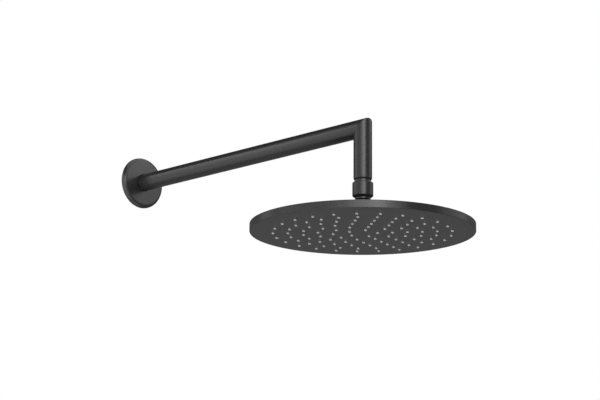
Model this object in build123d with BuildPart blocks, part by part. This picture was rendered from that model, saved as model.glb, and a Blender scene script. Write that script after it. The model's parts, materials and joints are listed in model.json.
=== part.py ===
from build123d import *
import os
from math import cos, radians, sqrt, tan

os.makedirs("parts", exist_ok=True)

# Wall-mounted rain shower: an arm from the wall, a mitred elbow, a short drop, a ball joint in a round
# nut and a thin round head. Millimetres, +Z up. The origin is on the arm's axis, in the plane of the
# finished wall. The wall is towards +Y and the head hangs at -Y.

# Arm and drop tubes
tube_diameter = 25.0
tube_wall = 2.5
arm_reach = 458.0
drop_length = 71.5
drop_end_radius = 2.2

# Half-inch parallel pipe thread
thread_diameter = 20.955
thread_depth = 1.162
thread_pitch = 1.814
thread_flat = 0.302

# Nipples
wall_thread_length = 15.0
thread_end_chamfer = 1.0
nipple_bore = 15.0
stub_length = 14.0
collar_step = 0.5
collar_length = 3.0

# Wall flange
flange_diameter = 76.2
flange_thickness = 7.0
flange_edge_radius = 5.5
flange_hole_gap = 0.5
flange_stand_off = 0.3
grip_ring_section = 2.5
wall_seal_width = 6.0
wall_seal_margin = 1.5
wall_seal_thickness = 1.5

# Swivel nut
nut_length = 26.4
nut_wall = 3.5
nut_collar_wall = 0.65
nut_collar_height = 3.2
nut_ledge_radius = 1.2
nut_neck_rim = 1.17
nut_neck_length = 2.0
nut_shoulder_height = 2.6
nut_shoulder_radius = 1.5

# Ball and stem
tilt_limit = 15.0
ball_entry_clearance = 0.115
ball_rise = 6.3
ball_flat_rise = 6.5
neck_length = 17.0
stem_diameter = 14.0
stem_bore = 8.0
stem_collar_overhang = 2.0
stem_collar_height = 3.0
stem_seal_section = 1.3
stem_seal_depths = (7.0, 13.0)
circlip_thickness = 1.0
circlip_overhang = 1.7
circlip_groove_depth = 0.8
circlip_opening = 7.0
circlip_room = 0.8
stem_end_length = 1.5

# Pieces stacked in the nut
seat_bore = 13.0
seat_foot_rise = 1.5
seat_top_rise = 8.8
washer_thickness = 3.0
washer_bore = 15.0
regulator_thickness = 2.2
regulator_hole = 1.6
regulator_hole_circle = 6.5
regulator_hole_count = 8
screen_thickness = 0.6
screen_hole = 1.3
screen_hole_pitch = 2.1

# Hub on the head's back
hub_height = 23.0
hub_wall = 8.0
hub_top_chamfer = 1.5
hub_foot_width = 5.0
hub_foot_height = 3.0
hub_shoulder_drop = 0.5
hub_gasket_thickness = 1.0
hub_gasket_inset = 1.0
spigot_wall = 1.5
lock_ring_width = 5.0
lock_ring_height = 2.2
lock_ring_slot = 3.0
lock_ring_slot_count = 4

# Head
head_diameter = 300.0
head_thickness = 10.0
shell_thickness = 1.2
rim_wall = 4.0
rim_lip = 1.2
rim_top_radius = 0.4
rim_bottom_radius = 0.4
face_thickness = 1.2
rim_seal_width = 1.4
rim_seal_height = 1.2

# Nozzles, in rings that fill the mat, with one spoke of them pointing at the wall
nozzle_counts = (5, 10, 15, 20, 25, 25)
nozzle_spoke_angle = 90.0
nozzle_diameter = 4.0
nozzle_tip_diameter = 3.4
nozzle_reach = 2.0
nozzle_bore = 1.2
mat_thickness = 2.0
mat_margin = 8.0

# Plate that clamps the mat, and its screws
clamp_thickness = 1.5
clamp_edge_gap = 8.0
clamp_margin = 5.0
clamp_water_hole = 3.0
screw_count = 12
screw_diameter = 3.0
screw_head_diameter = 5.5
screw_head_height = 1.8
screw_socket = 1.1
screw_socket_depth = 0.9
screw_tip_gap = 0.4
boss_diameter = 7.0
boss_gap = 2.7

# Clearances
braze_gap = 0.05
running_clearance = 0.05
thread_clearance = 0.07
moving_gap = 0.3
seat_gap = 0.1
nozzle_gap = 0.2
turning_gap = 0.4

# Radii of the tubes, thread and flange
tube_radius = tube_diameter / 2
tube_bore_radius = tube_radius - tube_wall
thread_radius = thread_diameter / 2
stub_radius = tube_bore_radius - braze_gap
collar_radius = tube_radius - collar_step
flange_radius = flange_diameter / 2
flange_hole_radius = tube_radius + flange_hole_gap

# Radii of the nut, ball and stem
nut_bore_radius = thread_radius + thread_clearance
nut_radius = nut_bore_radius + nut_wall
ball_radius = thread_radius - thread_depth - ball_entry_clearance
socket_radius = ball_radius + running_clearance
stem_radius = stem_diameter / 2
hub_bore_radius = stem_radius + running_clearance
circlip_radius = stem_radius + circlip_overhang
circlip_groove_radius = stem_radius - circlip_groove_depth
spigot_bore_radius = circlip_radius + circlip_room
spigot_radius = spigot_bore_radius + spigot_wall
hub_radius = hub_bore_radius + hub_wall
hub_foot_radius = hub_radius + hub_foot_width

# Radii of the head, from the rim inwards
head_radius = head_diameter / 2
face_recess_radius = head_radius - rim_lip
face_radius = face_recess_radius - seat_gap
cavity_radius = head_radius - rim_wall
rim_seal_middle = (cavity_radius + face_recess_radius) / 2
clamp_radius = cavity_radius - clamp_edge_gap
screw_circle = clamp_radius - clamp_margin
mat_radius = screw_circle - boss_diameter / 2 - boss_gap
nozzle_ring_pitch = (mat_radius - mat_margin) / len(nozzle_counts)
nozzle_hole_radius = nozzle_diameter / 2 + nozzle_gap

# Heights down the drop, from the arm's axis
drop_end_z = -drop_length
nut_top_z = drop_end_z - turning_gap
nut_bottom_z = nut_top_z - nut_length
ball_z = nut_bottom_z + ball_rise
ball_flat_z = ball_z + ball_flat_rise
seat_foot_z = ball_z + seat_foot_rise
seat_top_z = ball_z + seat_top_rise
washer_top_z = seat_top_z + washer_thickness
outlet_end_z = washer_top_z + moving_gap
outlet_thread_length = drop_end_z - outlet_end_z
hub_top_z = ball_z - neck_length
hub_bottom_z = hub_top_z - hub_height
hub_shoulder_z = hub_bottom_z - hub_shoulder_drop
head_top_z = hub_bottom_z - hub_gasket_thickness
shell_inside_z = head_top_z - shell_thickness
spigot_end_z = shell_inside_z - lock_ring_height
head_bottom_z = head_top_z - head_thickness
face_top_z = head_bottom_z + face_thickness
mat_top_z = face_top_z + mat_thickness
clamp_top_z = mat_top_z + clamp_thickness
circlip_top_z = hub_shoulder_z - moving_gap
circlip_bottom_z = circlip_top_z - circlip_thickness
stem_end_z = circlip_bottom_z - stem_end_length

# The drop's axis, the upright section plane through it, and level planes across it
drop_axis = Axis((0, -arm_reach, 0), (0, 0, 1))
drop_section = Plane.XZ.offset(arm_reach)
mitre_plane = Plane(origin=(0, -arm_reach, 0), z_dir=(0, 1, 1))


def level(height):
    """A horizontal plane centred on the drop's axis."""
    return Plane((0, -arm_reach, height))


def turned_face(points):
    """Draw half the section of a turned piece, from (radius, place along the axis) points."""
    Polygon(*points, align=None)


def flat_ring(inner_radius, outer_radius):
    """Draw the plan of a washer."""
    Circle(outer_radius)
    Circle(inner_radius, mode=Mode.SUBTRACT)


def nozzle_circles(radius):
    """Draw one circle for each nozzle of the head."""
    for ring, count in enumerate(nozzle_counts, start=1):
        with PolarLocations(ring * nozzle_ring_pitch, count, start_angle=nozzle_spoke_angle):
            Circle(radius)


def thread_outline(start, length, step):
    """Outline of a male thread, as rings of its true pitch and depth, from start along step (+1 or -1)."""
    flank = (thread_pitch - 2 * thread_flat) / 2
    root_radius = thread_radius - thread_depth
    points = [(thread_radius, start)]
    place = thread_pitch - flank
    while place + 2 * flank + thread_flat < length - thread_end_chamfer:
        points.append((thread_radius, start + step * place))
        points.append((root_radius, start + step * (place + flank)))
        points.append((root_radius, start + step * (place + flank + thread_flat)))
        points.append((thread_radius, start + step * (place + 2 * flank + thread_flat)))
        place += thread_pitch
    points.append((thread_radius, start + step * (length - thread_end_chamfer)))
    points.append((thread_radius - thread_end_chamfer, start + step * length))
    return points


# Arm tube, from the wall nipple's collar to the mitre
with BuildPart() as arm_tube:
    with BuildSketch(Plane.XZ.offset(collar_length)):
        flat_ring(tube_bore_radius, tube_radius)
    extrude(amount=arm_reach + tube_diameter - collar_length)
    split(bisect_by=mitre_plane, keep=Keep.TOP)
arm_tube.part.label = "arm_tube"
export_step(arm_tube.part, "parts/arm_tube.step")

# Drop tube, from the mitre down to its rounded end
with BuildPart() as drop_tube:
    with BuildSketch(drop_section):
        turned_face([
            (tube_bore_radius, tube_diameter),
            (tube_radius, tube_diameter),
            (tube_radius, drop_end_z),
            (tube_bore_radius, drop_end_z),
        ])
    revolve(axis=drop_axis)
    split(bisect_by=mitre_plane, keep=Keep.BOTTOM)
    fillet(edges().group_by(Axis.Z)[0].sort_by(SortBy.RADIUS)[-1], radius=drop_end_radius)
drop_tube.part.label = "drop_tube"
export_step(drop_tube.part, "parts/drop_tube.step")

# Wall nipple: a stub in the arm, a collar against the wall and the thread that enters it
with BuildPart() as wall_nipple:
    with BuildSketch(Plane.XY):
        turned_face([
            (nipple_bore / 2, -collar_length - stub_length),
            (stub_radius, -collar_length - stub_length),
            (stub_radius, -collar_length),
            (collar_radius, -collar_length),
            (collar_radius, 0),
            *thread_outline(0, wall_thread_length, 1),
            (nipple_bore / 2, wall_thread_length),
        ])
    revolve(axis=Axis.Y)
wall_nipple.part.label = "wall_nipple"
export_step(wall_nipple.part, "parts/wall_nipple.step")

# Outlet nipple: a stub in the drop tube and the thread that takes the nut
with BuildPart() as outlet_nipple:
    with BuildSketch(drop_section):
        turned_face([
            (nipple_bore / 2, drop_end_z + stub_length),
            (stub_radius, drop_end_z + stub_length),
            (stub_radius, drop_end_z),
            *thread_outline(drop_end_z, outlet_thread_length, -1),
            (nipple_bore / 2, outlet_end_z),
        ])
    revolve(axis=drop_axis)
outlet_nipple.part.label = "outlet_nipple"
export_step(outlet_nipple.part, "parts/outlet_nipple.step")

# Wall flange: a turned disc with a rounded front edge, a recess for the wall seal and a groove in its bore
flange_back_y = -flange_stand_off
flange_front_y = flange_back_y - flange_thickness
grip_ring_y = flange_back_y - flange_thickness / 2
grip_ring_middle = tube_radius + running_clearance + grip_ring_section / 2
grip_groove_radius = grip_ring_middle + grip_ring_section / 2 + running_clearance
grip_groove_half = grip_ring_section / 2 + seat_gap
wall_seal_radius = flange_radius - wall_seal_margin
wall_seal_inner_radius = wall_seal_radius - wall_seal_width
with BuildPart() as wall_flange:
    with BuildSketch(Plane.XY):
        turned_face([
            (flange_hole_radius, flange_front_y),
            (flange_radius, flange_front_y),
            (flange_radius, flange_back_y),
            (wall_seal_radius + seat_gap, flange_back_y),
            (wall_seal_radius + seat_gap, -wall_seal_thickness),
            (wall_seal_inner_radius - seat_gap, -wall_seal_thickness),
            (wall_seal_inner_radius - seat_gap, flange_back_y),
            (flange_hole_radius, flange_back_y),
            (flange_hole_radius, grip_ring_y + grip_groove_half),
            (grip_groove_radius, grip_ring_y + grip_groove_half),
            (grip_groove_radius, grip_ring_y - grip_groove_half),
            (flange_hole_radius, grip_ring_y - grip_groove_half),
        ])
    revolve(axis=Axis.Y)
    fillet(edges().group_by(Axis.Y)[0].sort_by(SortBy.RADIUS)[-1], radius=flange_edge_radius)
wall_flange.part.label = "wall_flange"
export_step(wall_flange.part, "parts/wall_flange.step")

# Rubber ring in the flange's bore
with BuildPart() as flange_grip_ring:
    with BuildSketch(Plane.XY):
        with Locations((grip_ring_middle, grip_ring_y)):
            Circle(grip_ring_section / 2)
    revolve(axis=Axis.Y)
flange_grip_ring.part.label = "flange_grip_ring"
export_step(flange_grip_ring.part, "parts/flange_grip_ring.step")

# Foam ring that meets the wall
with BuildPart() as flange_wall_seal:
    with BuildSketch(Plane.XZ):
        flat_ring(wall_seal_inner_radius, wall_seal_radius)
    extrude(amount=wall_seal_thickness)
flange_wall_seal.part.label = "flange_wall_seal"
export_step(flange_wall_seal.part, "parts/flange_wall_seal.step")

# Swivel nut: a thin collar over a rounded ledge, the thread's bore, a shoulder for the seat, a lip that
# carries the ball and a short neck. The mouth is a cone that clears the stem at its tilt limit. It meets
# the ball's socket at the lip.
mouth_slope = tan(radians(tilt_limit))
mouth_start = stem_radius / cos(radians(tilt_limit)) + moving_gap
mouth_root = sqrt(socket_radius ** 2 * (1 + mouth_slope ** 2) - mouth_start ** 2)
lip_drop = (mouth_root - mouth_slope * mouth_start) / (1 + mouth_slope ** 2)
lip_radius = mouth_start + mouth_slope * lip_drop
mouth_radius = mouth_start + mouth_slope * ball_rise
nut_neck_radius = mouth_radius + nut_neck_rim
nut_neck_top_z = nut_bottom_z + nut_neck_length
nut_collar_radius = nut_bore_radius + nut_collar_wall
nut_ledge_z = nut_top_z - nut_collar_height
with BuildPart() as swivel_nut:
    with BuildSketch(drop_section):
        turned_face([
            (nut_bore_radius, nut_top_z),
            (nut_collar_radius, nut_top_z),
            (nut_collar_radius, nut_ledge_z),
            (nut_radius, nut_ledge_z),
            (nut_radius, nut_neck_top_z + nut_shoulder_height),
            (nut_neck_radius, nut_neck_top_z),
            (nut_neck_radius, nut_bottom_z),
            (mouth_radius, nut_bottom_z),
            (lip_radius, ball_z - lip_drop),
            (lip_radius, ball_z),
            (socket_radius, ball_z),
            (socket_radius, seat_foot_z),
            (nut_bore_radius, seat_foot_z),
        ])
    revolve(axis=drop_axis)
    widest_edges = edges().filter_by(GeomType.CIRCLE).group_by(SortBy.RADIUS)[-1].sort_by(Axis.Z)
    fillet(widest_edges[-1], radius=nut_ledge_radius)
    widest_edges = edges().filter_by(GeomType.CIRCLE).group_by(SortBy.RADIUS)[-1].sort_by(Axis.Z)
    fillet(widest_edges[0], radius=nut_shoulder_radius)
    with Locations((0, -arm_reach, ball_z)):
        Sphere(socket_radius, mode=Mode.SUBTRACT)
swivel_nut.part.label = "swivel_nut"
export_step(swivel_nut.part, "parts/swivel_nut.step")

# Seat ring over the ball
seat_radius = nut_bore_radius - seat_gap
with BuildPart() as ball_seat:
    with BuildSketch(level(seat_foot_z)):
        flat_ring(seat_bore / 2, seat_radius)
    extrude(amount=seat_top_z - seat_foot_z)
    with Locations((0, -arm_reach, ball_z)):
        Sphere(socket_radius, mode=Mode.SUBTRACT)
ball_seat.part.label = "ball_seat"
export_step(ball_seat.part, "parts/ball_seat.step")

# Rubber washer under the outlet nipple
with BuildPart() as inlet_washer:
    with BuildSketch(level(seat_top_z)):
        flat_ring(washer_bore / 2, seat_radius)
    extrude(amount=washer_thickness)
inlet_washer.part.label = "inlet_washer"
export_step(inlet_washer.part, "parts/inlet_washer.step")

# Flow regulator: a plastic disc with a ring of holes, on the seat and inside the washer
insert_radius = washer_bore / 2 - seat_gap
with BuildPart() as flow_regulator:
    with BuildSketch(level(seat_top_z)):
        Circle(insert_radius)
        with PolarLocations(regulator_hole_circle / 2, regulator_hole_count):
            Circle(regulator_hole / 2, mode=Mode.SUBTRACT)
    extrude(amount=regulator_thickness)
flow_regulator.part.label = "flow_regulator"
export_step(flow_regulator.part, "parts/flow_regulator.step")

# Filter screen: a perforated steel disc on the regulator
screen_rings = int((insert_radius - screen_hole) / screen_hole_pitch)
with BuildPart() as filter_screen:
    with BuildSketch(level(seat_top_z + regulator_thickness)):
        Circle(insert_radius)
        Circle(screen_hole / 2, mode=Mode.SUBTRACT)
        for ring in range(1, screen_rings + 1):
            with PolarLocations(ring * screen_hole_pitch, 6 * ring):
                Circle(screen_hole / 2, mode=Mode.SUBTRACT)
    extrude(amount=screen_thickness)
filter_screen.part.label = "filter_screen"
export_step(filter_screen.part, "parts/filter_screen.step")

# Ball and stem: a hollow turned piece with a collar over the hub, two seal grooves and a clip groove
stem_collar_bottom_z = hub_top_z + moving_gap
stem_collar_top_z = stem_collar_bottom_z + stem_collar_height
stem_collar_radius = stem_radius + stem_collar_overhang
seal_groove_radius = hub_bore_radius - 2 * running_clearance - stem_seal_section
seal_groove_width = stem_seal_section + 2 * seat_gap
with BuildPart() as ball_stem:
    with BuildSketch(drop_section):
        turned_face([
            (0, ball_z),
            (stem_radius, ball_z),
            (stem_radius, stem_collar_top_z),
            (stem_collar_radius, stem_collar_top_z),
            (stem_collar_radius, stem_collar_bottom_z),
            (stem_radius, stem_collar_bottom_z),
            (stem_radius, stem_end_z),
            (0, stem_end_z),
        ])
    revolve(axis=drop_axis)
    with Locations((0, -arm_reach, ball_z)):
        Sphere(ball_radius)
    split(bisect_by=level(ball_flat_z), keep=Keep.BOTTOM)
    with BuildSketch(level(stem_end_z)):
        Circle(stem_bore / 2)
    extrude(amount=ball_flat_z - stem_end_z, mode=Mode.SUBTRACT)
    for depth in stem_seal_depths:
        with BuildSketch(level(hub_top_z - depth - seal_groove_width / 2)):
            flat_ring(seal_groove_radius, hub_bore_radius)
        extrude(amount=seal_groove_width, mode=Mode.SUBTRACT)
    with BuildSketch(level(circlip_bottom_z - seat_gap)):
        flat_ring(circlip_groove_radius, hub_bore_radius)
    extrude(amount=circlip_thickness + 2 * seat_gap, mode=Mode.SUBTRACT)
ball_stem.part.label = "ball_stem"
export_step(ball_stem.part, "parts/ball_stem.step")

# Rubber rings in the stem's grooves, just clear of the hub's bore
stem_seal_middle = seal_groove_radius + running_clearance + stem_seal_section / 2
with BuildPart() as stem_seals:
    with BuildSketch(drop_section):
        for depth in stem_seal_depths:
            with Locations((stem_seal_middle, hub_top_z - depth)):
                Circle(stem_seal_section / 2)
    revolve(axis=drop_axis)
stem_seals.part.label = "stem_seals"
export_step(stem_seals.part, "parts/stem_seals.step")

# Spring clip on the stem's end, open towards the wall
with BuildPart() as stem_circlip:
    with BuildSketch(level(circlip_bottom_z)):
        flat_ring(circlip_groove_radius + seat_gap, circlip_radius)
        with Locations((0, circlip_radius)):
            Rectangle(circlip_opening, circlip_radius, mode=Mode.SUBTRACT)
    extrude(amount=circlip_thickness)
stem_circlip.part.label = "stem_circlip"
export_step(stem_circlip.part, "parts/stem_circlip.step")

# Hub: a boss that turns on the stem, with a foot on the head and a spigot through the shell
with BuildPart() as inlet_hub:
    with BuildSketch(drop_section):
        turned_face([
            (hub_bore_radius, hub_top_z),
            (hub_radius - hub_top_chamfer, hub_top_z),
            (hub_radius, hub_top_z - hub_top_chamfer),
            (hub_radius, hub_bottom_z + hub_foot_height),
            (hub_foot_radius, hub_bottom_z + hub_foot_height),
            (hub_foot_radius, hub_bottom_z),
            (spigot_radius, hub_bottom_z),
            (spigot_radius, spigot_end_z),
            (spigot_bore_radius, spigot_end_z),
            (spigot_bore_radius, hub_shoulder_z),
            (hub_bore_radius, hub_shoulder_z),
        ])
    revolve(axis=drop_axis)
inlet_hub.part.label = "inlet_hub"
export_step(inlet_hub.part, "parts/inlet_hub.step")

# Gasket under the hub's foot
with BuildPart() as hub_gasket:
    with BuildSketch(level(head_top_z)):
        flat_ring(spigot_radius + seat_gap, hub_foot_radius - hub_gasket_inset)
    extrude(amount=hub_gasket_thickness)
hub_gasket.part.label = "hub_gasket"
export_step(hub_gasket.part, "parts/hub_gasket.step")

# Slotted ring that clamps the hub from inside the shell
lock_ring_radius = spigot_radius + lock_ring_width
with BuildPart() as hub_lock_ring:
    with BuildSketch(level(spigot_end_z)):
        flat_ring(spigot_radius + thread_clearance, lock_ring_radius)
        with PolarLocations(lock_ring_radius, lock_ring_slot_count):
            Rectangle(lock_ring_slot, lock_ring_slot, mode=Mode.SUBTRACT)
    extrude(amount=lock_ring_height)
hub_lock_ring.part.label = "hub_lock_ring"
export_step(hub_lock_ring.part, "parts/hub_lock_ring.step")

# Head shell: the back cover and rim, with a recess for the face plate and a groove for the rim's seal
rim_seal_top_z = face_top_z + rim_seal_height
rim_groove_half = rim_seal_width / 2 + seat_gap
with BuildPart() as head_shell:
    with BuildSketch(drop_section):
        turned_face([
            (spigot_radius + seat_gap, head_top_z),
            (head_radius, head_top_z),
            (head_radius, head_bottom_z),
            (face_recess_radius, head_bottom_z),
            (face_recess_radius, face_top_z),
            (rim_seal_middle + rim_groove_half, face_top_z),
            (rim_seal_middle + rim_groove_half, rim_seal_top_z),
            (rim_seal_middle - rim_groove_half, rim_seal_top_z),
            (rim_seal_middle - rim_groove_half, face_top_z),
            (cavity_radius, face_top_z),
            (cavity_radius, shell_inside_z),
            (spigot_radius + seat_gap, shell_inside_z),
        ])
    revolve(axis=drop_axis)
    fillet(edges().group_by(Axis.Z)[-1].sort_by(SortBy.RADIUS)[-1], radius=rim_top_radius)
    fillet(edges().group_by(Axis.Z)[0].sort_by(SortBy.RADIUS)[-1], radius=rim_bottom_radius)
head_shell.part.label = "head_shell"
export_step(head_shell.part, "parts/head_shell.step")

# Square rubber ring in the rim's groove
with BuildPart() as rim_seal:
    with BuildSketch(level(face_top_z)):
        flat_ring(rim_seal_middle - rim_seal_width / 2, rim_seal_middle + rim_seal_width / 2)
    extrude(amount=rim_seal_height)
rim_seal.part.label = "rim_seal"
export_step(rim_seal.part, "parts/rim_seal.step")

# Face plate: a hole for each nozzle, and threaded bosses behind it for the clamp's screws
with BuildPart() as face_plate:
    with BuildSketch(level(head_bottom_z)):
        Circle(face_radius)
    extrude(amount=face_thickness)
    with BuildSketch(level(head_bottom_z)):
        nozzle_circles(nozzle_hole_radius)
    extrude(amount=face_thickness, mode=Mode.SUBTRACT)
    with BuildSketch(level(face_top_z)):
        with PolarLocations(screw_circle, screw_count):
            Circle(boss_diameter / 2)
    extrude(amount=mat_thickness)
    with BuildSketch(level(face_top_z)):
        with PolarLocations(screw_circle, screw_count):
            Circle(screw_diameter / 2 + braze_gap)
    extrude(amount=mat_thickness, mode=Mode.SUBTRACT)
face_plate.part.label = "face_plate"
export_step(face_plate.part, "parts/face_plate.step")

# One nozzle, drawn about the drop's axis: a straight shank through the face and a tapered tip
nozzle_tip_z = head_bottom_z - nozzle_reach
with BuildPart() as nozzle:
    with BuildSketch(drop_section):
        turned_face([
            (0, face_top_z),
            (nozzle_diameter / 2, face_top_z),
            (nozzle_diameter / 2, head_bottom_z),
            (nozzle_tip_diameter / 2, nozzle_tip_z),
            (0, nozzle_tip_z),
        ])
    revolve(axis=drop_axis)

# Soft mat behind the face, with a nozzle through each hole
with BuildPart() as nozzle_mat:
    with BuildSketch(level(face_top_z)):
        Circle(mat_radius)
    extrude(amount=mat_thickness)
    for ring, count in enumerate(nozzle_counts, start=1):
        with PolarLocations(ring * nozzle_ring_pitch, count, start_angle=nozzle_spoke_angle, rotate=False):
            add(nozzle.part)
    with BuildSketch(level(nozzle_tip_z)):
        nozzle_circles(nozzle_bore / 2)
    extrude(amount=mat_top_z - nozzle_tip_z, mode=Mode.SUBTRACT)
nozzle_mat.part.label = "nozzle_mat"
export_step(nozzle_mat.part, "parts/nozzle_mat.step")

# Perforated plate that presses the mat onto the face
with BuildPart() as clamp_plate:
    with BuildSketch(level(mat_top_z)):
        Circle(clamp_radius)
    extrude(amount=clamp_thickness)
    with BuildSketch(level(mat_top_z)):
        nozzle_circles(clamp_water_hole / 2)
        with PolarLocations(screw_circle, screw_count):
            Circle(screw_diameter / 2 + nozzle_gap)
    extrude(amount=clamp_thickness, mode=Mode.SUBTRACT)
clamp_plate.part.label = "clamp_plate"
export_step(clamp_plate.part, "parts/clamp_plate.step")

# Screws of the clamp plate, with hexagon sockets
with BuildPart() as clamp_screws:
    with BuildSketch(level(face_top_z + screw_tip_gap)):
        with PolarLocations(screw_circle, screw_count):
            Circle(screw_diameter / 2)
    extrude(amount=clamp_top_z - face_top_z - screw_tip_gap)
    with BuildSketch(level(clamp_top_z)):
        with PolarLocations(screw_circle, screw_count):
            Circle(screw_head_diameter / 2)
    extrude(amount=screw_head_height)
    with BuildSketch(level(clamp_top_z + screw_head_height)):
        with PolarLocations(screw_circle, screw_count):
            RegularPolygon(screw_socket, 6)
    extrude(amount=-screw_socket_depth, mode=Mode.SUBTRACT)
clamp_screws.part.label = "clamp_screws"
export_step(clamp_screws.part, "parts/clamp_screws.step")
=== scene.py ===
# %% [markdown]
# # Dressing a rain shower in satin black
# The object is a shower head on a wall arm. Its construction comes from a CAD model, already packed
# as a fixed frame of named pieces that ride on moving bodies. This lesson gives that frame its looks:
# turned edges that catch the light, a coating with a fine skin, soft nozzles and a small studio.
# The frame comes first, because every later piece is placed by asking it for sizes.

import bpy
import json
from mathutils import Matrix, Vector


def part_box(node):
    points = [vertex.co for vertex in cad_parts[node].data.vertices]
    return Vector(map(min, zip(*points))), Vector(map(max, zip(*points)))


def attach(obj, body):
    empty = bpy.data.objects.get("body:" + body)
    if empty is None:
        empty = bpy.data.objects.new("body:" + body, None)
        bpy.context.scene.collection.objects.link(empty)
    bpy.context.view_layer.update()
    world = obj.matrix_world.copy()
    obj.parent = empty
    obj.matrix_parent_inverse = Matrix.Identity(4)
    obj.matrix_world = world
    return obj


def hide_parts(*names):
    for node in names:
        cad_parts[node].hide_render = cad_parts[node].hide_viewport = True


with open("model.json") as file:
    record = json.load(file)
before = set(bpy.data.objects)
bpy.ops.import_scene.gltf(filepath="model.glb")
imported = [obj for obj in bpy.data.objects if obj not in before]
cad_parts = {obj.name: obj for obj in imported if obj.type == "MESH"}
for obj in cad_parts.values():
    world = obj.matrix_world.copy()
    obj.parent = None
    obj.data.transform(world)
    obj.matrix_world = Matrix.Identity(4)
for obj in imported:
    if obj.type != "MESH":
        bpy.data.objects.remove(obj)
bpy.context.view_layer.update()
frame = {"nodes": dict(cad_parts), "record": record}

# %% Modules and units
import json
import math

import bmesh
import bpy
from mathutils import Vector

MM = 0.001
scene = bpy.context.scene
scene.view_settings.view_transform = "Standard"
print("a millimetre is", MM, "of a metre, and the view is", scene.view_settings.view_transform)

# %% [markdown]
# ## Sizes
# A finished piece has to sit exactly where its CAD solid sits. So the script reads each solid's box
# and works out radii and heights from it, instead of repeating the CAD drawing. A box of a round
# solid is measured on flat facets, so sizes are rounded to the tenth of a millimetre they came from.
# Sizes that no box shows, such as a bore or a wall, are written out beside the piece that has them.

# %% Read sizes from the frame
def millimetres(length):
    """A length in metres as millimetres, to the nearest tenth."""
    return round(length / MM, 1)


def radius_of(node):
    """Radius of a round node, from the width of its box along X."""
    low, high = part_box(node)
    return millimetres((high.x - low.x) / 2)


def heights_of(node):
    """Lowest and highest point of a node."""
    low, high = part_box(node)
    return millimetres(low.z), millimetres(high.z)


def depths_of(node):
    """Front and back of a node: the room is at negative Y and the wall at positive Y."""
    low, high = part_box(node)
    return millimetres(low.y), millimetres(high.y)


tube_radius = radius_of("arm_tube")
arm_front, wall_end_y = depths_of("arm_tube")
drop_y = arm_front + tube_radius
drop_end_z, _ = heights_of("drop_tube")
head_bottom, head_top = heights_of("head_shell")
head_radius = radius_of("head_shell")
face_centre = MM * Vector((0, drop_y, head_bottom))
print("tube radius", tube_radius, "reach", -drop_y, "head radius", head_radius)

# %% [markdown]
# ## Writing shaders as sums
# A material is a graph of nodes, and a graph is tedious to write link by link. One small class wraps
# an output socket and overloads the arithmetic operators, so that a formula in Python becomes Math
# nodes. Its reflected forms let a plain number stand on the left, as in `1 - mask`. Every other kind
# of node comes from one method that sets the node's options first and then its sockets.

# %% A socket that does arithmetic
class Wire:
    """An output socket of a shader graph, or a source of new nodes in that graph."""

    def __init__(self, tree, socket=None):
        self.tree = tree
        self.socket = socket

    def node(self, kind, output=0, settings=None, **inputs):
        """Add a node, set its options, fill its sockets by name and return one of its outputs."""
        made = self.tree.nodes.new(kind)
        for name, value in (settings or {}).items():
            if name == "stops":
                self._set_stops(made.color_ramp, value)
            else:
                setattr(made, name, value)
        for name, value in inputs.items():
            self._fill(made.inputs[self._socket_key(made, name)], value)
        return Wire(self.tree, made.outputs[output] if made.outputs else None)

    @staticmethod
    def _socket_key(made, name):
        """Sockets are named in words, such as base_color, or by place, such as in_1."""
        if name.startswith("in_"):
            return int(name[3:])
        wanted = name.replace("_", " ").lower()
        return next(socket.name for socket in made.inputs if socket.name.lower() == wanted)

    @staticmethod
    def _set_stops(ramp, stops):
        for place, (position, grey) in enumerate(stops):
            stop = ramp.elements[place] if place < 2 else ramp.elements.new(position)
            stop.position = position
            stop.color = (grey, grey, grey, 1)

    def _fill(self, socket, value):
        if isinstance(value, Wire):
            self.tree.links.new(value.socket, socket)
        else:
            socket.default_value = value

    def _math(self, operation, left, right):
        return self.node("ShaderNodeMath", settings={"operation": operation}, in_0=left, in_1=right)

    def __add__(self, other):
        return self._math("ADD", self, other)

    def __radd__(self, other):
        return self._math("ADD", other, self)

    def __sub__(self, other):
        return self._math("SUBTRACT", self, other)

    def __rsub__(self, other):
        return self._math("SUBTRACT", other, self)

    def __mul__(self, other):
        return self._math("MULTIPLY", self, other)

    def __rmul__(self, other):
        return self._math("MULTIPLY", other, self)


trial = bpy.data.node_groups.new("trial", "ShaderNodeTree")
trial_formula = 1 - Wire(trial).node("ShaderNodeValue") * 0.5
print("1 - value * 0.5 became", len(trial_formula.tree.nodes), "nodes")
bpy.data.node_groups.remove(trial)


# %% Material helpers
def start_material(name):
    """A new material with an empty graph, and a wire that adds nodes to it."""
    material = bpy.data.materials.new(name)
    material.use_nodes = True
    material.node_tree.nodes.clear()
    return material, Wire(material.node_tree)


def end_material(graph, surface):
    """Join the finished shader to the material's output."""
    graph.node("ShaderNodeOutputMaterial", surface=surface)


def tint_between(graph, mask, dark, light):
    """A colour that runs from one tint to another as the mask goes from 0 to 1."""
    mixed_colour = 2
    return graph.node(
        "ShaderNodeMix",
        output=mixed_colour,
        settings={"data_type": "RGBA"},
        in_0=mask,
        in_6=(*dark, 1),
        in_7=(*light, 1),
    )


def at_most_one(graph, value):
    """A value with all that is above 1 cut down to 1."""
    return graph.node("ShaderNodeMath", settings={"operation": "MINIMUM"}, in_0=value, in_1=1.0)


# %% [markdown]
# ## Satin black coating
# The tubes, nut, flange and head wear a baked black coating. Close up it is not one flat black: the
# powder flows into a skin like very fine orange peel, and its gloss wanders a little. Noise at two
# scales gives that. The broad one shifts the tint and the gloss, and the fine one shifts the gloss and
# is a bump. A noise node's values lie about one half, so a half is taken off to make them go both ways.
# Both read object coordinates, in metres, so the skin has the same size on every piece.

# %% Coating
noise_middle = 0.5


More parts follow.
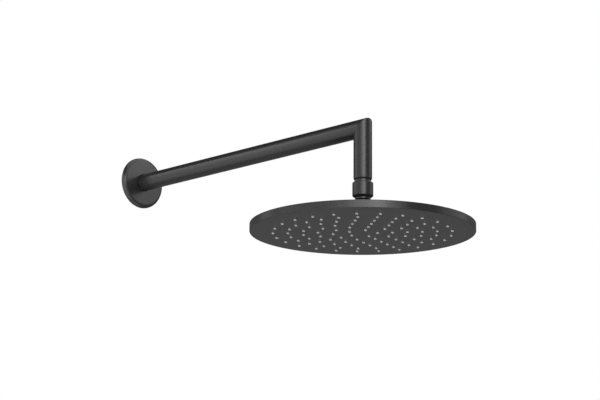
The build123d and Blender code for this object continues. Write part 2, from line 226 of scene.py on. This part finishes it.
def satin_coating(name, dark, light, roughness, cloud_gloss, skin_gloss, skin_height):
    """Black baked coating with a fine skin."""
    material, graph = start_material(name)
    place = graph.node("ShaderNodeTexCoord", output="Object")
    cloud = graph.node("ShaderNodeTexNoise", vector=place, scale=45.0, detail=3.0)
    skin = graph.node("ShaderNodeTexNoise", vector=place, scale=1400.0, detail=2.0)
    tint = tint_between(graph, cloud, dark, light)
    gloss = roughness + (cloud - noise_middle) * cloud_gloss + (skin - noise_middle) * skin_gloss
    bump = graph.node("ShaderNodeBump", strength=0.12, distance=skin_height, height=skin)
    surface = graph.node("ShaderNodeBsdfPrincipled", base_color=tint, roughness=gloss, normal=bump)
    end_material(graph, surface)
    return material


coating = satin_coating(
    "satin_black",
    dark=(0.013, 0.013, 0.0135),
    light=(0.019, 0.019, 0.0195),
    roughness=0.30,
    cloud_gloss=0.06,
    skin_gloss=0.05,
    skin_height=0.05 * MM,
)
print("coating:", len(coating.node_tree.nodes), "nodes")

# %% [markdown]
# ## Soft grey nozzles
# The nozzles are silicone: matt, a little cloudy, and lighter than the plate around them. Their roots sit
# in the shade of the holes, and that shade is painted into their colour: the grey deepens over the last
# stretch before the plate. A dark ring could be modelled, but a painted tint does it: the distance below
# the plate, as a share of that stretch and at most one, runs the colour from dark to light.

# %% Silicone
def soft_silicone(name, dark, light, lightness, cloud_tint, roughness, cloud_gloss, root, painted_shade_height):
    """Cloudy grey silicone with a soft sheen, and painted shade darkening the root of each nozzle."""
    material, graph = start_material(name)
    place = graph.node("ShaderNodeTexCoord", output="Object")
    cloud = graph.node("ShaderNodeTexNoise", vector=place, scale=160.0, detail=2.0)
    height = graph.node("ShaderNodeSeparateXYZ", output="Z", vector=place)
    # painted shade: this runs from 0 at the plate to 1 a short stretch below it, so each root is painted
    # darker
    out_of_painted_shade = at_most_one(graph, (root - height) * (1 / painted_shade_height))
    cloudy = lightness + (cloud - noise_middle) * cloud_tint
    tint = tint_between(graph, out_of_painted_shade * cloudy, dark, light)
    gloss = roughness + (cloud - noise_middle) * cloud_gloss
    surface = graph.node("ShaderNodeBsdfPrincipled", base_color=tint, roughness=gloss)
    end_material(graph, surface)
    return material


# the dark tint is painted shade at the nozzles' roots, over the last stretch above the plate
silicone = soft_silicone(
    "grey_silicone",
    dark=(0.03, 0.03, 0.03),
    light=(0.54, 0.54, 0.535),
    lightness=0.92,
    cloud_tint=0.16,
    roughness=0.5,
    cloud_gloss=0.1,
    root=MM * head_bottom,
    painted_shade_height=0.8 * MM,
)
print("silicone:", len(silicone.node_tree.nodes), "nodes, roots at", head_bottom)

# %% [markdown]
# ## Bench finishes
# Some pieces show only from behind or when the shower is taken apart. They get the finish they have on
# the bench: turned brass, plain steel, black rubber and white moulded plastic. One function makes all
# four, because each is a tint, a gloss and a bump that follow the same fine grain. Every CAD piece then
# gets the finish that its row in the record asks for.

# %% Brass, steel, rubber and plastic
grain_gloss = 0.16


def bench_finish(name, dark, light, roughness, metallic, grain, bump_height):
    """A finish with a fine grain, for metal, rubber or moulded plastic."""
    material, graph = start_material(name)
    place = graph.node("ShaderNodeTexCoord", output="Object")
    noise = graph.node("ShaderNodeTexNoise", vector=place, scale=grain, detail=4.0)
    tint = tint_between(graph, noise, dark, light)
    gloss = roughness + (noise - noise_middle) * grain_gloss
    bump = graph.node("ShaderNodeBump", strength=0.2, distance=bump_height, height=noise)
    surface = graph.node(
        "ShaderNodeBsdfPrincipled", base_color=tint, roughness=gloss, metallic=metallic, normal=bump
    )
    end_material(graph, surface)
    return material


bench_recipes = {
    # slot: name, dark tint, light tint, roughness, metallic, grain, bump height
    "bare_brass": ("turned_brass", (0.58, 0.42, 0.19), (0.75, 0.56, 0.28), 0.32, 1.0, 700, 0.03 * MM),
    "bare_steel": ("plain_steel", (0.48, 0.48, 0.48), (0.62, 0.62, 0.62), 0.34, 1.0, 600, 0.03 * MM),
    "black_rubber": ("black_rubber", (0.018, 0.018, 0.018), (0.032, 0.032, 0.031), 0.7, 0.0, 900, 0.1 * MM),
    "white_plastic": ("white_plastic", (0.68, 0.68, 0.66), (0.78, 0.78, 0.76), 0.45, 0.0, 500, 0.05 * MM),
}
finishes = {"satin_black_metal": coating, "grey_silicone": silicone}
for slot_name, recipe in bench_recipes.items():
    finishes[slot_name] = bench_finish(*recipe)
print("finishes:", ", ".join(finishes))

# %% Dress the CAD nodes
slot_of_node = {row["node"]: row["material_slot"] for row in frame["record"]["subparts"]}
for node_name, node_object in frame["nodes"].items():
    node_object.data.materials.clear()
    node_object.data.materials.append(finishes[slot_of_node[node_name]])
print("dressed", len(frame["nodes"]), "nodes with", len(finishes), "finishes")

# %% [markdown]
# ## Turned shapes
# Most pieces of this shower are turned on a lathe, so a section and an axis describe them. No turned
# edge is perfectly sharp, and the thin bright line along an edge is what tells the eye that a thing is
# real. So the first helper rounds every corner of a section. It also notes which way the surface faces
# at each point, and the mesh keeps those directions as its normals: flat faces then shade flat and
# rounded edges shade round, with no extra loops. Roundings are in millimetres, like all sizes here, and
# one that is too large for its corner stops at a share of the shorter edge.

# %% Round a section
usual_rounding = 0.15
longest_share = 0.9
smallest_slope = 1e-6


def rounded(corners, steps=5):
    """Round a closed section. A corner is (radius, place along the axis) or that and its own rounding."""
    flat = [Vector(corner[:2]) for corner in corners]
    area = sum(start.x * end.y - end.x * start.y for start, end in zip(flat, flat[1:] + flat[:1]))
    if area < 0:
        return rounded(corners[::-1], steps)
    outline = []
    for here, corner in enumerate(flat):
        arriving = corner - flat[here - 1]
        leaving = flat[(here + 1) % len(flat)] - corner
        turn = math.atan2(arriving.cross(leaving), arriving.dot(leaving))
        wanted = corners[here][2] if len(corners[here]) == 3 else usual_rounding
        slope = math.tan(abs(turn) / 2)
        cut = min(wanted * slope, longest_share * arriving.length, longest_share * leaving.length)
        arriving.normalize()
        facing = Vector((arriving.y, -arriving.x))
        bend = math.copysign(cut / max(slope, smallest_slope), turn)
        middle = corner - cut * arriving - bend * facing
        for step in range(steps + 1):
            angle = turn * step / steps
            across = Vector((
                facing.x * math.cos(angle) - facing.y * math.sin(angle),
                facing.x * math.sin(angle) + facing.y * math.cos(angle),
            ))
            outline.append((middle + bend * across, across))
    return outline


square = [(1, 0), (2, 0), (2, 1), (1, 1)]
print("a rounded square has", len(rounded(square)), "points")


# %% Turn a section
def grid_mesh(name, rows):
    """A mesh over a grid of (place, facing) pairs in millimetres that closes on itself both ways."""
    count, along = len(rows), len(rows[0])
    faces = []
    for line in range(count):
        near, far = line * along, (line + 1) % count * along
        for step in range(along):
            ahead = (step + 1) % along
            faces.append((near + step, far + step, far + ahead, near + ahead))
    mesh = bpy.data.meshes.new(name)
    mesh.from_pydata([MM * place for row in rows for place, _ in row], [], faces)
    mesh.polygons.foreach_set("use_smooth", [True] * len(faces))
    mesh.normals_split_custom_set_from_vertices([facing for row in rows for _, facing in row])
    return mesh


def swung(point, angle, about):
    """A point of a section, or a direction in it, swung about the upright axis or the arm's axis."""
    cosine, sine = math.cos(angle), math.sin(angle)
    if about == "Z":
        return Vector((point.x * cosine, point.x * sine, point.y))
    return Vector((point.x * sine, point.y, point.x * cosine))


def turned(name, outline, segments=192, centre=(0, 0), about="Z"):
    """Turn a rounded section about an upright axis through centre, or about the arm's axis."""
    base = Vector((*centre, 0))
    rows = []
    for step in range(segments):
        angle = 2 * math.pi * step / segments
        rows.append([
            (base + swung(place, angle, about), swung(facing, angle, about))
            for place, facing in outline
        ])
    return grid_mesh(name, rows)


def put(name, mesh, body, slot_name, *nodes):
    """Place a finished piece on its body, instead of the CAD solids it stands for."""
    piece = bpy.data.objects.new(name, mesh)
    scene.collection.objects.link(piece)
    mesh.materials.append(finishes[slot_name])
    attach(piece, body)
    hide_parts(*nodes)
    print(name, "on", body, "with", len(mesh.polygons), "faces")


# %% [markdown]
# ## The mitred tube
# The arm and the drop are one tube, cut at forty-five degrees and brazed. Two cylinders would leave a
# hairline at the joint, so one grid follows the tube's wall from the wall end, round the elbow, down to
# the rounded end and back through the bore. Each line of the grid runs along the tube. At the mitre it
# turns through a small arc, because a brazed corner is filed and then thickened a little by the coating.

# %% Stops along the tube
tube_wall = 2.5
mitre_rounding_outside = 1.6
mitre_rounding_inside = 0.8
drop_end_rounding = 2.2
arc_steps = 10
arm_length = wall_end_y - drop_y
path_length = arm_length - drop_end_z
tube_bore = tube_radius - tube_wall


def mitre_turn(radius, facing_sign):
    """The stops of a line's turn at the mitre, in the order in which the line meets them."""
    steps = range(arc_steps + 1) if facing_sign > 0 else range(arc_steps, -1, -1)
    return [("mitre", radius, math.radians(90 * step / arc_steps), facing_sign) for step in steps]


unfolded = rounded([
    (tube_bore, 0),
    (tube_radius, 0),
    (tube_radius, path_length, drop_end_rounding),
    (tube_bore, path_length),
], steps=9)
stops = []
for (spot, out), (next_spot, _) in zip(unfolded, unfolded[1:] + unfolded[:1]):
    stops.append(("straight", spot, out))
    if abs(next_spot.y - spot.y) > arm_length / 2:
        stops.extend(mitre_turn(spot.x, math.copysign(1, next_spot.y - spot.y)))
print("tube path of", path_length, "millimetres with", len(stops), "stops")

# %% Tube
tube_segments = 160


def on_tube(stop, angle):
    """Place and facing of one stop of the path, on the line at this angle round the tube."""
    side, up = math.cos(angle), math.sin(angle)
    if stop[0] == "mitre":
        _, radius, turn, sign = stop
        middle = (mitre_rounding_outside + mitre_rounding_inside) / 2
        swing = (mitre_rounding_outside - mitre_rounding_inside) / 2
        back, down = 1 - math.sin(turn), 1 - math.cos(turn)
        rounding = middle + swing * up
        depth = drop_y - radius * up + rounding * back
        place = Vector((radius * side, depth, radius * up - rounding * down))
        from_back = (radius - swing * back) * side * math.sin(turn)
        from_top = (radius - swing * down) * side * math.cos(turn)
        facing = Vector((from_back + from_top, -radius * up * math.sin(turn), radius * up * math.cos(turn)))
        return place, sign * facing.normalized()
    _, spot, out = stop
    if spot.y < arm_length / 2:
        place = Vector((spot.x * side, wall_end_y - spot.y, spot.x * up))
        return place, Vector((out.x * side, -out.y, out.x * up))
    place = Vector((spot.x * side, drop_y - spot.x * up, drop_end_z + path_length - spot.y))
    return place, Vector((out.x * side, -out.x * up, -out.y))


tube_angles = [2 * math.pi * step / tube_segments for step in range(tube_segments)]
tube_mesh = grid_mesh("mitred_tube", [[on_tube(stop, angle) for stop in stops] for angle in tube_angles])
put("mitred_tube", tube_mesh, "arm", "satin_black_metal", "arm_tube", "drop_tube")

# %% [markdown]
# ## The flange
# The flange hides the hole in the wall. It is a disc turned from bar, with a front edge rounded so far
# that little of its rim is left. Its bore is half a millimetre wider than the tube all round, and that
# dark ring is worth keeping: without it the disc looks welded on.

# %% Flange
flange_radius = radius_of("wall_flange")
flange_edge_rounding = 5.5
broken_edge = 0.3
flange_gap = 0.5
flange_bore = tube_radius + flange_gap
flange_front, flange_back = depths_of("wall_flange")
seal_radius = radius_of("flange_wall_seal")
seal_width = 6.0
seal_front, _ = depths_of("flange_wall_seal")
grip_front, grip_back = depths_of("flange_grip_ring")
grip_radius = radius_of("flange_grip_ring")
groove_margin = 0.1
flange_section = rounded([
    (flange_bore, flange_front, broken_edge),
    (flange_radius, flange_front, flange_edge_rounding),
    (flange_radius, flange_back, broken_edge),
    (seal_radius + groove_margin, flange_back),
    (seal_radius + groove_margin, seal_front),
    (seal_radius - seal_width - groove_margin, seal_front),
    (seal_radius - seal_width - groove_margin, flange_back),
    (flange_bore, flange_back),
    (flange_bore, grip_back + groove_margin),
    (grip_radius + groove_margin, grip_back + groove_margin),
    (grip_radius + groove_margin, grip_front - groove_margin),
    (flange_bore, grip_front - groove_margin),
], steps=9)
flange_mesh = turned("turned_flange", flange_section, about="Y")
put("turned_flange", flange_mesh, "flange", "satin_black_metal", "wall_flange")

# %% [markdown]
# ## The swivel nut
# The nut turns on the drop's thread and carries the ball. A thin collar on its ledge and the tube's
# rounded end make the dark groove between them. At the bottom a shoulder steps in to a short neck, whose
# mouth is a cone that lets the stem lean. Inside is a socket for the ball and a bore for the seals. The
# socket is part of a ball's outline, so a helper gives its points between two latitudes.

# %% Points of a ball
barely_rounded = 0.01


def arc(radius, middle, start, end, count=8):
    """Points of a ball's outline about a height on the axis, between two latitudes in degrees."""
    points = []
    for step in range(count + 1):
        latitude = math.radians(start + (end - start) * step / count)
        points.append((radius * math.cos(latitude), middle + radius * math.sin(latitude), barely_rounded))
    return points


print("a quarter of a ball has", len(arc(1, 0, 0, 90)), "points")

# %% Nut
drop_centre = (0, drop_y)
crisp_edge = 0.2
nut_radius = radius_of("swivel_nut")
nut_bottom, nut_top = heights_of("swivel_nut")
nut_bore = 10.55
nut_collar_wall = 0.65
nut_collar_radius = nut_bore + nut_collar_wall
nut_collar_height = 3.2
nut_ledge = nut_top - nut_collar_height
nut_ledge_rounding = 1.2
nut_shoulder_height = 2.6
nut_shoulder_rounding = 1.5
nut_neck_height = 2.0
nut_neck_radius = 10.4
nut_mouth_radius = 9.24
ball_rise = 6.3
ball_height = nut_bottom + ball_rise
socket_radius = 9.25
socket_lip_latitude = -23.0
seat_rise = 1.5
seat_foot = ball_height + seat_rise
nut_section = rounded([
    (nut_mouth_radius, nut_bottom, crisp_edge),
    (nut_neck_radius, nut_bottom, broken_edge),
    (nut_neck_radius, nut_bottom + nut_neck_height, broken_edge),
    (nut_radius, nut_bottom + nut_neck_height + nut_shoulder_height, nut_shoulder_rounding),
    (nut_radius, nut_ledge, nut_ledge_rounding),
    (nut_collar_radius, nut_ledge, crisp_edge),
    (nut_collar_radius, nut_top, crisp_edge),
    (nut_bore, nut_top),
    (nut_bore, seat_foot),
    (socket_radius, seat_foot),
    *arc(socket_radius, ball_height, 0, socket_lip_latitude),
])
nut_mesh = turned("turned_nut", nut_section, centre=drop_centre)
put("turned_nut", nut_mesh, "swivel", "satin_black_metal", "swivel_nut")

# %% [markdown]
# ## The stem and the hub
# Under the nut a ball on a hollow stem lets the head lean, and a hub on the head's back turns on that
# stem. Only the neck between them shows from below, but both can be seen from above. The stem's section
# has a groove for each rubber ring and one for the spring clip, just as it is turned.

# %% Stem
ball_radius = 9.2
stem_radius = 7.0
stem_bore = 4.0
collar_radius = 9.0
collar_height = 3.0
collar_rounding = 0.4
hub_gap = 0.3
groove_depth_seals = 1.35
groove_depth_clip = 0.8
stem_bottom, ball_flat = heights_of("ball_stem")
_, hub_top = heights_of("inlet_hub")
clip_bottom, clip_top = heights_of("stem_circlip")
seal_bottom, seal_top = heights_of("stem_seals")
seal_size = 1.3
ball_foot = -math.degrees(math.acos(stem_radius / ball_radius))
ball_brow = math.degrees(math.asin((ball_flat - ball_height) / ball_radius))


def groove(bottom, top, depth):
    """Corners of a square groove in the stem, from its lower edge upwards."""
    low, high = bottom - groove_margin, top + groove_margin
    cut_radius = stem_radius - depth
    return [(stem_radius, low), (cut_radius, low), (cut_radius, high), (stem_radius, high)]


stem_section = rounded([
    (stem_bore, stem_bottom),
    (stem_radius, stem_bottom, broken_edge),
    *groove(clip_bottom, clip_top, groove_depth_clip),
    *groove(seal_bottom, seal_bottom + seal_size, groove_depth_seals),
    *groove(seal_top - seal_size, seal_top, groove_depth_seals),
    (stem_radius, hub_top + hub_gap),
    (collar_radius, hub_top + hub_gap, broken_edge),
    (collar_radius, hub_top + hub_gap + collar_height, collar_rounding),
    (stem_radius, hub_top + hub_gap + collar_height, broken_edge),
    *arc(ball_radius, ball_height, ball_foot, ball_brow, 16),
    (stem_bore, ball_flat),
])
stem_mesh = turned("turned_stem", stem_section, 128, drop_centre)
put("turned_stem", stem_mesh, "ball", "satin_black_metal", "ball_stem")

# %% Hub
spigot_end, _ = heights_of("inlet_hub")
_, hub_bottom = heights_of("hub_gasket")
hub_foot_radius = radius_of("inlet_hub")
hub_foot_width = 5.0
hub_foot_height = 3.0
hub_radius = hub_foot_radius - hub_foot_width
hub_chamfer = 1.5
hub_edge = 0.5
hub_fillet = 0.6
running_gap = 0.05
hub_bore = stem_radius + running_gap
spigot_radius = 11.0
spigot_bore = 9.5
spigot_step = 0.5
hub_section = rounded([
    (hub_bore, hub_top),
    (hub_radius - hub_chamfer, hub_top, hub_edge),
    (hub_radius, hub_top - hub_chamfer, hub_edge),
    (hub_radius, hub_bottom + hub_foot_height, hub_fillet),
    (hub_foot_radius, hub_bottom + hub_foot_height, hub_edge),
    (hub_foot_radius, hub_bottom, broken_edge),
    (spigot_radius, hub_bottom),
    (spigot_radius, spigot_end),
    (spigot_bore, spigot_end),
    (spigot_bore, hub_bottom - spigot_step),
    (hub_bore, hub_bottom - spigot_step),
])
hub_mesh = turned("turned_hub", hub_section, 128, drop_centre)
put("turned_hub", hub_mesh, "head", "satin_black_metal", "inlet_hub")

# %% [markdown]
# ## The head
# The shell is a shallow pan, spun from sheet and trued at the rim, with both edges of the rim rounded a
# little. Its bottom is a narrow lip that holds the face plate flush. The tiny gap between lip and plate
# gives the fine line at the crease. The plate itself stays as the CAD model has it, with a hundred
# drilled holes.

# %% Shell
face_bottom, _ = heights_of("face_plate")
face_thickness = 1.2
face_back = face_bottom + face_thickness
face_recess = radius_of("face_plate") + groove_margin
shell_thickness = 1.2
rim_wall = 4.0
rim_rounding = 0.4
shell_cavity = head_radius - rim_wall
rim_seal_radius = radius_of("rim_seal")
rim_seal_width = 1.4
_, rim_seal_top = heights_of("rim_seal")
shell_section = rounded([
    (spigot_radius + groove_margin, head_top),
    (head_radius, head_top, rim_rounding),
    (head_radius, head_bottom, rim_rounding),
    (face_recess, head_bottom),
    (face_recess, face_back),
    (rim_seal_radius + groove_margin, face_back),
    (rim_seal_radius + groove_margin, rim_seal_top),
    (rim_seal_radius - rim_seal_width - groove_margin, rim_seal_top),
    (rim_seal_radius - rim_seal_width - groove_margin, face_back),
    (shell_cavity, face_back),
    (shell_cavity, head_top - shell_thickness),
    (spigot_radius + groove_margin, head_top - shell_thickness),
])
print("lip round the face plate:", round(head_radius - face_recess, 2), "millimetres")
shell_mesh = turned("spun_shell", shell_section, 360, drop_centre)
put("spun_shell", shell_mesh, "head", "satin_black_metal", "head_shell")

# %% [markdown]
# ## The nozzles
# A hundred soft nozzles stand on one mat behind the plate and poke through its holes. They sit on six
# rings, and every ring starts on the spoke that points at the wall. All counts are multiples of five, so
# five spokes are straight. The outer two rings hold the same number, which is why the pattern looks looser
# there. One nozzle is drawn as a section with a rounded tip, and its mesh is repeated at each place and
# joined to the mat as one moulding.

# %% Nozzles
nozzle_radius = 2.0
nozzle_tip_radius = 1.7
nozzle_bore = 0.6
nozzle_tip_rounding = 0.45
nozzle_root_rounding = 0.1
nozzle_counts = (5, 10, 15, 20, 25, 25)
mat_radius = radius_of("nozzle_mat")
mat_hole = 1.0
mat_margin = 8.0
nozzle_tip, mat_back = heights_of("nozzle_mat")
ring_pitch = (mat_radius - mat_margin) / len(nozzle_counts)
nozzle_section = rounded([
    (nozzle_bore, nozzle_tip),
    (nozzle_tip_radius, nozzle_tip, nozzle_tip_rounding),
    (nozzle_radius, face_bottom, nozzle_root_rounding),
    (nozzle_radius, face_back),
    (nozzle_bore, face_back),
], steps=3)
mat_section = rounded([
    (mat_hole, face_back),
    (mat_radius, face_back),
    (mat_radius, mat_back),
    (mat_hole, mat_back),
])
moulding = bmesh.new()
moulding.from_mesh(turned("mat", mat_section, 128, drop_centre))
one_nozzle = turned("one_nozzle", nozzle_section, 24)
for ring, count in enumerate(nozzle_counts, start=1):
    ring_radius = ring * ring_pitch
    for step in range(count):
        angle = math.pi / 2 + 2 * math.pi * step / count
        spot = MM * Vector((ring_radius * math.cos(angle), drop_y + ring_radius * math.sin(angle), 0))
        before = len(moulding.verts)
        moulding.from_mesh(one_nozzle)
        moulding.verts.ensure_lookup_table()
        bmesh.ops.translate(moulding, verts=moulding.verts[before:], vec=spot)
nozzle_mesh = bpy.data.meshes.new("soft_nozzles")
moulding.to_mesh(nozzle_mesh)
moulding.free()
print(sum(nozzle_counts), "nozzles on rings", round(ring_pitch, 2), "millimetres apart")
put("soft_nozzles", nozzle_mesh, "head", "grey_silicone", "nozzle_mat")

# %% [markdown]
# ## The camera
# The photograph looks up at the head from below and from the left, through a long lens. A camera is
# easiest to repeat as a distance and two angles about one point of the object. Its own pitch is a
# third angle, because it aims a little above that point. The picture was cropped off centre, which
# is what a lens shift does: it moves the frame without turning the camera, so the perspective stays.

# %% Camera
picture_width = 600
optical_centre_x = 362.81
focal_length_pixels = 1844.4
sensor_width_mm = 36.0
camera_distance = 2.4415
camera_azimuth = -46.84
camera_elevation = -12.162
camera_pitch = -13.172


def direction(azimuth, elevation):
    """Unit vector from the object towards a place given by its azimuth and elevation in degrees."""
    around, up = math.radians(azimuth), math.radians(elevation)
    return Vector((math.sin(around) * math.cos(up), -math.cos(around) * math.cos(up), math.sin(up)))


camera = bpy.data.objects.new("camera", bpy.data.cameras.new("camera"))
scene.collection.objects.link(camera)
camera.data.sensor_width = sensor_width_mm
camera.data.lens = focal_length_pixels * sensor_width_mm / picture_width
camera.data.shift_x = 0.5 - optical_centre_x / picture_width
camera.data.clip_end = 100
camera.location = face_centre + camera_distance * direction(camera_azimuth, camera_elevation)
camera.rotation_mode = "QUATERNION"
camera.rotation_quaternion = (-direction(camera_azimuth, camera_pitch)).to_track_quat("-Z", "Y")
scene.camera = camera
print("lens", round(camera.data.lens, 1), "mm, shift", round(camera.data.shift_x, 3))

# %% [markdown]
# ## The floor
# A pale floor lies two metres under the arm, below the picture. A square one would show its edge from
# other sides, so this is a wide disc that fades to white on the way out. A Light Path node tells which
# kind of ray asks for its colour. Rays that show the floor directly get part of its paint and part of a
# plain white glow, and all other rays get the paint alone, so the glow throws no light on the object.

# %% Floor
floor_drop = 2.0
floor_radius = 60.0
floor_segments = 96
floor_mesh = bpy.data.meshes.new("floor")
floor_form = bmesh.new()
bmesh.ops.create_circle(floor_form, cap_ends=True, segments=floor_segments, radius=floor_radius)
floor_form.to_mesh(floor_mesh)
floor_form.free()
floor = bpy.data.objects.new("floor", floor_mesh)
floor.location = (0, MM * drop_y, -floor_drop)
floor.visible_glossy = False
scene.collection.objects.link(floor)
print("floor", 2 * floor_radius, "metres wide,", floor_drop, "metres under the arm")

# %% Floor paint
floor_fade = 20.0
glow_near = 0.7


def seen_directly(graph):
    """1 for the rays that show a surface to the camera, a mirror or a pane of glass, otherwise 0."""
    to_camera = graph.node("ShaderNodeLightPath", output="Is Camera Ray")
    to_mirror = graph.node("ShaderNodeLightPath", output="Is Glossy Ray")
    to_glass = graph.node("ShaderNodeLightPath", output="Is Transmission Ray")
    return to_camera + to_mirror + to_glass


floor_paint, floor_graph = start_material("pale_floor")
floor_matt = floor_graph.node("ShaderNodeBsdfDiffuse", color=(0.65, 0.65, 0.65, 1))
floor_glow = floor_graph.node("ShaderNodeEmission", color=(1, 1, 1, 1), strength=1.0)
floor_place = floor_graph.node("ShaderNodeTexCoord", output="Object")
away = floor_graph.node(
    "ShaderNodeVectorMath", output="Value", settings={"operation": "LENGTH"}, in_0=floor_place
)
fade = at_most_one(floor_graph, away * (1 / floor_fade))
glow_share = seen_directly(floor_graph) * (glow_near + (1 - glow_near) * fade)
floor_surface = floor_graph.node("ShaderNodeMixShader", in_0=glow_share, in_1=floor_matt, in_2=floor_glow)
end_material(floor_graph, floor_surface)
floor_mesh.materials.append(floor_paint)
print("floor white from", floor_fade, "metres out, with", len(floor_paint.node_tree.nodes), "nodes")

# %% [markdown]
# ## The world
# The world is what lies behind everything, and it also lights the object from all sides. The backdrop
# has to be white, but that much light would wash the black out. So the rays that show the world directly
# get plain white, and the rays that carry its light get a dim, even grey.

# %% World
room_strength = 0.15
world = bpy.data.worlds.new("studio")
scene.world = world
world.use_nodes = True
world.node_tree.nodes.clear()
sky = Wire(world.node_tree)
room_light = sky.node("ShaderNodeBackground", color=(1, 1, 1, 1), strength=room_strength)
white_backdrop = sky.node("ShaderNodeBackground", color=(1, 1, 1, 1), strength=1.0)
shown = sky.node("ShaderNodeMixShader", in_0=seen_directly(sky), in_1=room_light, in_2=white_backdrop)
sky.node("ShaderNodeOutputWorld", surface=shown)
print("the world looks white and lights at", room_strength)

# %% [markdown]
# ## The dark tent
# A black coating shows whatever stands round it. In a real studio most of that is an unlit room, and with
# white on every side the coating would turn grey. A large ball of dark cloth stands for that room. It
# hides the white world and throws no shadow, and only mirrors and glass see it. Its lower part is paler,
# as the room is near a floor that catches light, and the floor itself is left out of reflections.

# %% Dark tent
tent_radius = 5.0
tent_mesh = bpy.data.meshes.new("dark_tent")
tent_form = bmesh.new()
bmesh.ops.create_icosphere(tent_form, subdivisions=4, radius=tent_radius)
tent_form.to_mesh(tent_mesh)
tent_form.free()
tent = bpy.data.objects.new("dark_tent", tent_mesh)
tent.location = (0, MM * drop_y, 0)
tent.visible_camera = False
tent.visible_diffuse = False
tent.visible_shadow = False
scene.collection.objects.link(tent)
print("tent", 2 * tent_radius, "metres wide, with", len(tent_mesh.polygons), "faces")

# %% Dark cloth
cloth_shades = [
    # height as a share of the tent's radius, grey
    (0.1, 0.205),
    (0.6, 0.02),
]
cloth, cloth_graph = start_material("dark_cloth")
cloth_place = cloth_graph.node("ShaderNodeTexCoord", output="Object")
cloth_height = cloth_graph.node("ShaderNodeSeparateXYZ", output="Z", vector=cloth_place) * (1 / tent_radius)
cloth_grey = cloth_graph.node("ShaderNodeValToRGB", settings={"stops": cloth_shades}, fac=cloth_height)
cloth_glow = cloth_graph.node("ShaderNodeEmission", color=cloth_grey)
end_material(cloth_graph, cloth_glow)
tent_mesh.materials.append(cloth)
print("cloth:", len(cloth.node_tree.nodes), "nodes")

# %% [markdown]
# ## Soft panels
# On satin black the eye sees little but the soft reflections of the lamps. So the lamps are large panels,
# and each stands where its reflection is wanted. A panel is given by the brightness of its face, because
# that is what a reflection shows, and its power follows from its size. About half stand in a ring round
# the drop: a bright key with dimmer neighbours, so that its reflection fades out, then fill from the left,
# the right, behind and above. The others have places of their own: one overhead, one at the right, strips
# beside the arm that draw long highlights on it, and low panels for light coming back off a white floor.

# %% Helper for panels
def soft_panel(name, place, aim, width, height, brightness):
    """A rectangular lamp that faces a point. Brightness is the light its face gives off."""
    lamp = bpy.data.lights.new(name, "AREA")
    lamp.shape = "RECTANGLE"
    lamp.size = width
    lamp.size_y = height
    lamp.energy = brightness * math.pi * width * height
    panel = bpy.data.objects.new(name, lamp)
    panel.location = place
    panel.rotation_mode = "QUATERNION"
    panel.rotation_quaternion = (Vector(aim) - Vector(place)).to_track_quat("-Z", "Y")
    panel.visible_camera = False
    scene.collection.objects.link(panel)


# %% Panels round the drop
panel_distance = 2.1
drop_middle = Vector((0, MM * drop_y, -0.05))
panels_round_the_drop = [
    # name, azimuth, elevation, width, height, brightness
    ("key_panel", -30, 18, 0.55, 0.75, 4.3),
    ("key_wing", -43, 12, 1.2, 1.15, 3.0),
    ("key_fade", -66, 12, 0.6, 1.15, 1.0),
    ("key_edge", -15, 14, 0.5, 1.0, 1.7),
    ("left_panel", -103, 10, 2.85, 1.1, 0.8),
    ("right_panel", 57, 8, 1.6, 0.9, 0.65),
    ("back_panel", -143, 25, 1.0, 0.35, 2.2),
    ("back_wing", -140, 38, 0.7, 0.4, 0.9),
    ("high_panel", 5, 40, 2.2, 0.8, 1.2),
    ("high_wing", -15, 52, 1.2, 1.2, 0.8),
]
for name, azimuth, elevation, *size_and_brightness in panels_round_the_drop:
    place = drop_middle + panel_distance * direction(azimuth, elevation)
    soft_panel(name, place, drop_middle, *size_and_brightness)
print(len(panels_round_the_drop), "panels", panel_distance, "metres from the drop")

# %% Panels with places of their own
placed_panels = [
    # name, place, aim, width, height, brightness
    ("top_panel", (0.5, -0.35, 1.5), (0.5, -0.35, 0), 2.4, 1.4, 1.6),
    ("side_panel", (0.62, -0.75, 0.48), (0, 0, 0), 0.45, 0.5, 2.4),
    ("upper_strip", (-0.3, 0.15, 0.115), (0, 0.15, 0.115), 0.5, 0.07, 1.5),
    ("middle_strip", (-0.3, 0.1, 0), (0, 0.1, 0), 0.6, 0.2, 0.7),
    ("low_strip", (-0.35, 0.3, -0.33), (0, 0.3, -0.33), 1.0, 0.46, 0.7),
    ("cove_left", (-1.9, -0.2, -0.7), (0, -0.2, 0), 2.6, 1.0, 1.2),
    ("cove_front", (-0.5, -2.2, -0.9), (0, -0.3, 0), 2.4, 1.0, 1.2),
    ("floor_left", (-1.4, -0.3, -1.6), (-1.4, -0.3, 0), 1.6, 2.4, 1.0),
    ("floor_middle", (0, -0.3, -1.6), (0, -0.3, 0), 1.6, 2.4, 0.7),
]
for panel in placed_panels:
    soft_panel(*panel)
